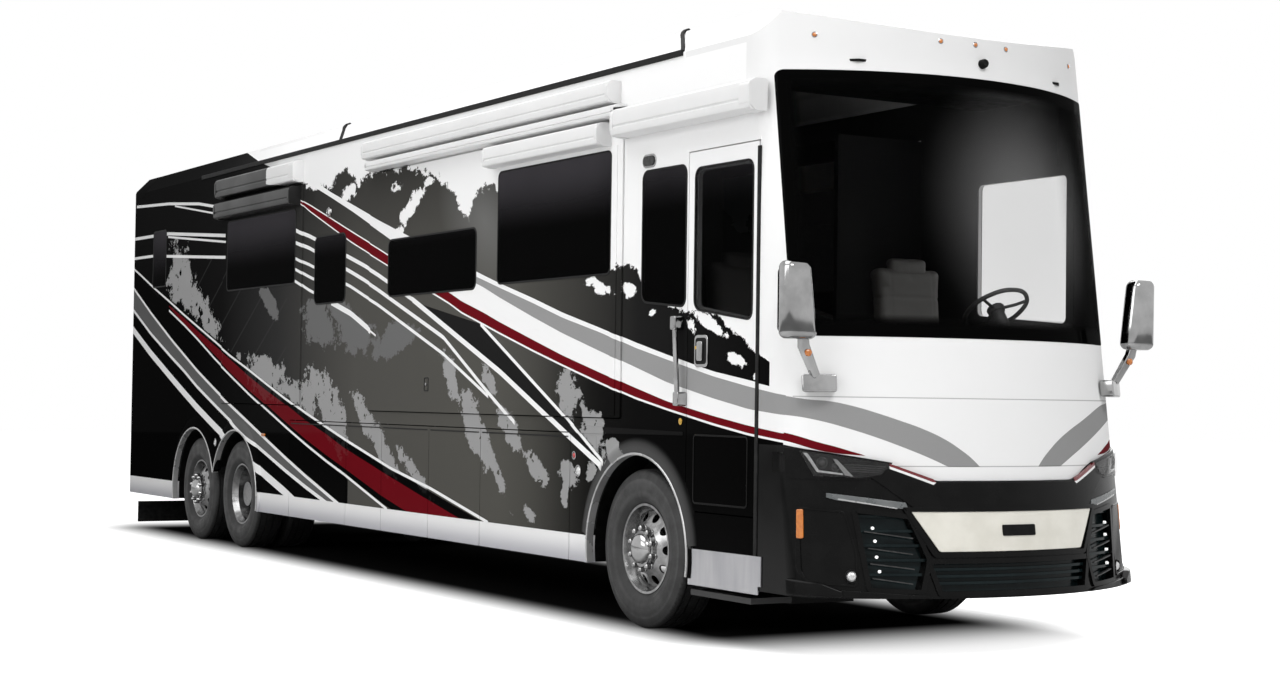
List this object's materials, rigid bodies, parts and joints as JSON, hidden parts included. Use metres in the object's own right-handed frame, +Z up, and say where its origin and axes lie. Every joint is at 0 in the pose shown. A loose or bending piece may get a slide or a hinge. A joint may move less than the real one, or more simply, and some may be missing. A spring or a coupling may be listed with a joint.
{
  "type": "class A motor coach",
  "caption": "Long bus-style motorhome with slide-out rooms, luggage bays, an entry door with step, and steered front wheels ahead of a twin-tyred drive axle and a tag axle.",
  "frame": {"origin": "on the ground, under the middle of the vehicle's bounding box", "axes": "+Z up, front towards -Y, +X to the vehicle's left"},
  "size_m": [2.94, 13.7, 4.0948],
  "materials": {
    "alloy": "gloss",
    "case_white": "satin",
    "cast": "matte",
    "chrome": "gloss",
    "dark_shell": "gloss",
    "deck": "matte",
    "leather": "satin",
    "lens": "gloss",
    "pane": "gloss",
    "rubber": "matte",
    "steel_black": "satin",
    "trim": "matte",
    "tyre": "matte",
    "white_shell": "gloss"
  },
  "bodies": {
    "coach": {"wall_right": "white_shell", "wall_left": "white_shell", "side_windows": "pane", "roof": "white_shell", "front_cap": "white_shell", "windshield": "pane", "front_bumper": "dark_shell", "inlet_grilles": "trim", "lamps": "lens", "rear_cap": "white_shell", "floor_panels": "deck", "bay_bulkheads": "deck", "stair_well": "deck", "frame_rails": "steel_black", "frame_members": "steel_black", "leveling_jacks": "steel_black", "engine_block": "cast", "axles": "cast", "air_springs": "rubber", "dashboard": "trim", "steering_wheel": "trim", "front_seats": "leather", "awning_cases": "case_white", "mirrors": "chrome", "roof_air_units": "white_shell", "rock_guard": "rubber"},
    "knuckle_right": {"knuckle_right": "cast"},
    "front_wheel_right": {"front_rim_right": "alloy", "front_tyre_right": "tyre"},
    "drive_wheels_right": {"drive_rim_right": "alloy", "drive_tyre_right": "tyre"},
    "tag_wheel_right": {"tag_rim_right": "alloy", "tag_tyre_right": "tyre"},
    "knuckle_left": {"knuckle_left": "cast"},
    "front_wheel_left": {"front_rim_left": "alloy", "front_tyre_left": "tyre"},
    "drive_wheels_left": {"drive_rim_left": "alloy", "drive_tyre_left": "tyre"},
    "tag_wheel_left": {"tag_rim_left": "alloy", "tag_tyre_left": "tyre"},
    "entry_door": {"entry_door": "white_shell", "entry_door_glass": "pane"},
    "entry_step": {"entry_step": "steel_black"},
    "slide_right_front": {"slide_right_front": "white_shell", "slide_right_front_glass": "pane"},
    "slide_right_rear": {"slide_right_rear": "white_shell", "slide_right_rear_glass": "pane"},
    "slide_left": {"slide_left": "white_shell", "slide_left_glass": "pane"},
    "bay_door_right_1": {"bay_door_right_1": "dark_shell"},
    "bay_door_right_2": {"bay_door_right_2": "dark_shell"},
    "bay_door_right_3": {"bay_door_right_3": "dark_shell"},
    "bay_door_right_4": {"bay_door_right_4": "dark_shell"},
    "bay_door_right_5": {"bay_door_right_5": "dark_shell"},
    "bay_door_left_1": {"bay_door_left_1": "dark_shell"},
    "bay_door_left_2": {"bay_door_left_2": "dark_shell"},
    "bay_door_left_3": {"bay_door_left_3": "dark_shell"},
    "bay_door_left_4": {"bay_door_left_4": "dark_shell"},
    "engine_door": {"engine_door": "white_shell"}
  },
  "joints": [
    {"name": "steer_right", "type": "hinge", "parent": "coach", "child": "knuckle_right", "pos_m": [-1, -4.52, 0.528], "axis": [0, 0, 1], "range_deg": [-35, 35]},
    {"name": "front_wheel_spin_right", "type": "hinge", "parent": "knuckle_right", "child": "front_wheel_right", "pos_m": [-1.108, -4.52, 0.528], "axis": [1, 0, 0], "continuous": true},
    {"name": "drive_wheel_spin_right", "type": "hinge", "parent": "coach", "child": "drive_wheels_right", "pos_m": [-1.1, 3.22, 0.528], "axis": [1, 0, 0], "continuous": true},
    {"name": "tag_wheel_spin_right", "type": "hinge", "parent": "coach", "child": "tag_wheel_right", "pos_m": [-1.1, 4.45, 0.528], "axis": [1, 0, 0], "continuous": true},
    {"name": "steer_left", "type": "hinge", "parent": "coach", "child": "knuckle_left", "pos_m": [1, -4.52, 0.528], "axis": [0, 0, 1], "range_deg": [-35, 35]},
    {"name": "front_wheel_spin_left", "type": "hinge", "parent": "knuckle_left", "child": "front_wheel_left", "pos_m": [1.108, -4.52, 0.528], "axis": [1, 0, 0], "continuous": true},
    {"name": "drive_wheel_spin_left", "type": "hinge", "parent": "coach", "child": "drive_wheels_left", "pos_m": [1.1, 3.22, 0.528], "axis": [1, 0, 0], "continuous": true},
    {"name": "tag_wheel_spin_left", "type": "hinge", "parent": "coach", "child": "tag_wheel_left", "pos_m": [1.1, 4.45, 0.528], "axis": [1, 0, 0], "continuous": true},
    {"name": "entry_door_hinge", "type": "hinge", "parent": "coach", "child": "entry_door", "pos_m": [-1.29, -5.904, 1.95], "axis": [0, 0, 1], "range_deg": [0, 90]},
    {"name": "entry_step_slide", "type": "slide", "parent": "coach", "child": "entry_step", "axis": [-1, 0, 0], "range_m": [0, 0.32]},
    {"name": "slide_right_front_travel", "type": "slide", "parent": "coach", "child": "slide_right_front", "axis": [-1, 0, 0], "range_m": [0, 0.65]},
    {"name": "slide_right_rear_travel", "type": "slide", "parent": "coach", "child": "slide_right_rear", "axis": [-1, 0, 0], "range_m": [0, 0.65]},
    {"name": "slide_left_travel", "type": "slide", "parent": "coach", "child": "slide_left", "axis": [1, 0, 0], "range_m": [0, 0.65]},
    {"name": "bay_door_right_1_hinge", "type": "hinge", "parent": "coach", "child": "bay_door_right_1", "pos_m": [-1.29, -3.589, 0.83], "axis": [0, 0, 1], "range_deg": [0, 90]},
    {"name": "bay_door_right_2_hinge", "type": "hinge", "parent": "coach", "child": "bay_door_right_2", "pos_m": [-1.29, -2.181, 0.83], "axis": [0, 0, 1], "range_deg": [0, 90]},
    {"name": "bay_door_right_3_hinge", "type": "hinge", "parent": "coach", "child": "bay_door_right_3", "pos_m": [-1.29, -1.256, 0.83], "axis": [0, 0, 1], "range_deg": [0, 90]},
    {"name": "bay_door_right_4_hinge", "type": "hinge", "parent": "coach", "child": "bay_door_right_4", "pos_m": [-1.29, -0.326, 0.83], "axis": [0, 0, 1], "range_deg": [0, 90]},
    {"name": "bay_door_right_5_hinge", "type": "hinge", "parent": "coach", "child": "bay_door_right_5", "pos_m": [-1.29, 0.434, 0.83], "axis": [0, 0, 1], "range_deg": [0, 90]},
    {"name": "bay_door_left_1_hinge", "type": "hinge", "parent": "coach", "child": "bay_door_left_1", "pos_m": [1.29, -3.589, 0.83], "axis": [0, 0, -1], "range_deg": [0, 90]},
    {"name": "bay_door_left_2_hinge", "type": "hinge", "parent": "coach", "child": "bay_door_left_2", "pos_m": [1.29, -2.181, 0.83], "axis": [0, 0, -1], "range_deg": [0, 90]},
    {"name": "bay_door_left_3_hinge", "type": "hinge", "parent": "coach", "child": "bay_door_left_3", "pos_m": [1.29, -0.886, 0.83], "axis": [0, 0, -1], "range_deg": [0, 90]},
    {"name": "bay_door_left_4_hinge", "type": "hinge", "parent": "coach", "child": "bay_door_left_4", "pos_m": [1.29, 0.434, 0.83], "axis": [0, 0, -1], "range_deg": [0, 90]},
    {"name": "engine_door_hinge", "type": "hinge", "parent": "coach", "child": "engine_door", "pos_m": [0, 6.842, 1.56], "axis": [1, 0, 0], "range_deg": [0, 75]}
  ],
  "couplings": [
    {"joint": "steer_right", "follows": "steer_left", "ratio": 1}
  ]
}
